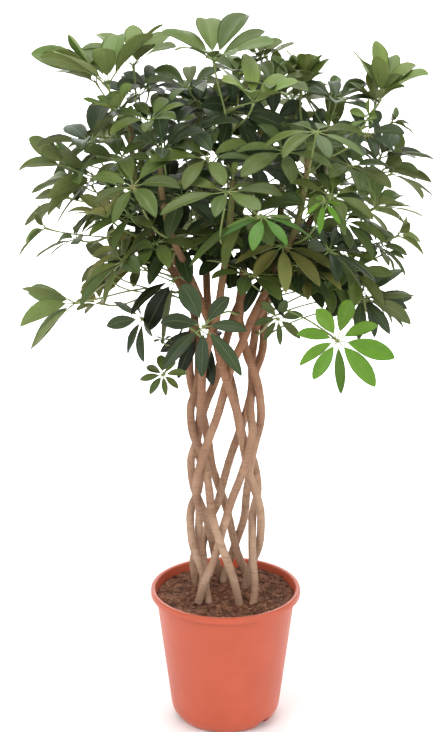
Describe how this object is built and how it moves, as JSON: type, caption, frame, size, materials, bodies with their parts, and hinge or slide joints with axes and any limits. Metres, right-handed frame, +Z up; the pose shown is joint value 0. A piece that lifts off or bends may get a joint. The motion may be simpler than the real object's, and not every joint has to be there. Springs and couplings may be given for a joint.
{
  "type": "potted umbrella plant",
  "caption": "Umbrella plant with an open woven lattice trunk and a dense crown of palmate leaves, in a tapered terracotta-coloured plastic nursery pot filled with soil",
  "frame": {"origin": "centre of the pot's underside, on the floor", "axes": "+Z up, the front of the picture is -Y, +X is to its right"},
  "size_m": [0.734, 0.7, 1.2677],
  "materials": {
    "pot_plastic": "satin moulded terracotta-coloured plastic",
    "soil": "damp fibrous peat and coir",
    "bark": "thin tan bark with fine rings",
    "leaf_dark": "glossy dark green leaf",
    "leaf_mid": "semi-gloss green leaf",
    "leaf_light": "semi-gloss light green leaf",
    "leaf_olive": "matt olive leaf underside",
    "leaf_lime": "semi-gloss lime young leaf"
  },
  "bodies": {
    "root": {"pot": "pot_plastic", "soil": "soil", "stem_l1": "bark", "stem_l2": "bark", "stem_l3": "bark", "stem_l4": "bark", "stem_l5": "bark", "stem_r1": "bark", "stem_r2": "bark", "stem_r3": "bark", "stem_r4": "bark", "stem_r5": "bark", "leaf_01": "leaf_mid", "leaf_02": "leaf_mid", "leaf_03": "leaf_dark", "leaf_04": "leaf_mid", "leaf_05": "leaf_olive", "leaf_06": "leaf_mid", "leaf_07": "leaf_mid", "leaf_08": "leaf_olive", "leaf_09": "leaf_dark", "leaf_10": "leaf_mid", "leaf_11": "leaf_dark", "leaf_12": "leaf_mid", "leaf_13": "leaf_lime", "leaf_14": "leaf_dark", "leaf_15": "leaf_mid", "leaf_16": "leaf_mid", "leaf_17": "leaf_dark", "leaf_18": "leaf_dark", "leaf_19": "leaf_light", "leaf_20": "leaf_mid", "leaf_21": "leaf_mid", "leaf_22": "leaf_light", "leaf_23": "leaf_olive", "leaf_24": "leaf_light", "leaf_25": "leaf_dark", "leaf_26": "leaf_mid", "leaf_27": "leaf_mid", "leaf_28": "leaf_mid", "leaf_29": "leaf_mid", "leaf_30": "leaf_dark", "leaf_31": "leaf_mid", "leaf_32": "leaf_mid", "leaf_33": "leaf_light", "leaf_34": "leaf_mid", "leaf_35": "leaf_mid", "leaf_36": "leaf_mid", "leaf_37": "leaf_mid", "leaf_38": "leaf_mid", "leaf_39": "leaf_dark", "leaf_40": "leaf_mid", "leaf_41": "leaf_dark", "leaf_42": "leaf_mid", "leaf_43": "leaf_dark", "leaf_44": "leaf_olive", "leaf_45": "leaf_light", "leaf_46": "leaf_mid", "leaf_47": "leaf_mid", "leaf_48": "leaf_dark"}
  },
  "joints": []
}
